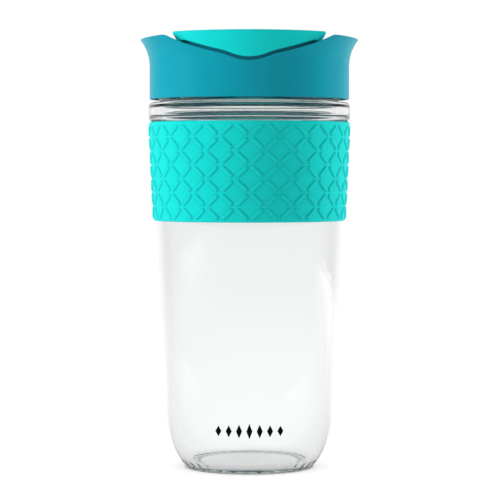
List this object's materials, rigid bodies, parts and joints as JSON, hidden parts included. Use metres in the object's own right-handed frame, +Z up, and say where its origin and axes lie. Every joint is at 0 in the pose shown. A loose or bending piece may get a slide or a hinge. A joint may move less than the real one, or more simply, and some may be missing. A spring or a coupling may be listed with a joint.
{
  "type": "glass travel cup",
  "caption": "Tapered clear glass travel cup with a silicone grip sleeve, a screw lid with two drinking lips and a pull-off bridge-shaped cap that plugs the opening.",
  "frame": {"origin": "centre of the base, on the surface that the cup stands on", "axes": "+Z up along the cup's axis, +X towards one drinking lip (the other lip is on -X), -Y towards the printed mark"},
  "size_m": [0.0934, 0.0868, 0.1854],
  "materials": {
    "clear_glass": "clear, polished soda-lime glass",
    "sleeve_silicone": "matt moulded silicone",
    "lid_soft_shell": "smooth satin silicone overmould",
    "lid_insert_plastic": "moulded polypropylene",
    "cap_plastic": "smooth satin moulded plastic",
    "seal_silicone": "translucent silicone",
    "black_ink": "screen-printed ceramic ink"
  },
  "bodies": {
    "vessel": {"glass_vessel": "clear_glass", "printed_mark": "black_ink"},
    "sleeve": {"silicone_sleeve": "sleeve_silicone"},
    "rim_seal": {"rim_gasket": "seal_silicone"},
    "lid": {"lid_shell": "lid_soft_shell", "lid_insert": "lid_insert_plastic"},
    "cap": {"cap_cover": "cap_plastic", "cap_plug": "cap_plastic", "plug_seal": "seal_silicone"}
  },
  "joints": [
    {"name": "sleeve_slide", "type": "slide", "parent": "vessel", "child": "sleeve", "axis": [0, 0, -1], "range_m": [0, 0.1]},
    {"name": "lid_lift", "type": "slide", "parent": "vessel", "child": "rim_seal", "axis": [0, 0, 1], "range_m": [0, 0.015]},
    {"name": "lid_turn", "type": "hinge", "parent": "rim_seal", "child": "lid", "pos_m": [0, 0, 0.165], "axis": [0, 0, 1], "range_deg": [0, 540]},
    {"name": "cap_lift", "type": "slide", "parent": "lid", "child": "cap", "axis": [0, 0, 1], "range_m": [0, 0.03]}
  ],
  "couplings": [
    {"joint": "lid_lift", "follows": "lid_turn", "m_per_rad": 0.0015915}
  ]
}
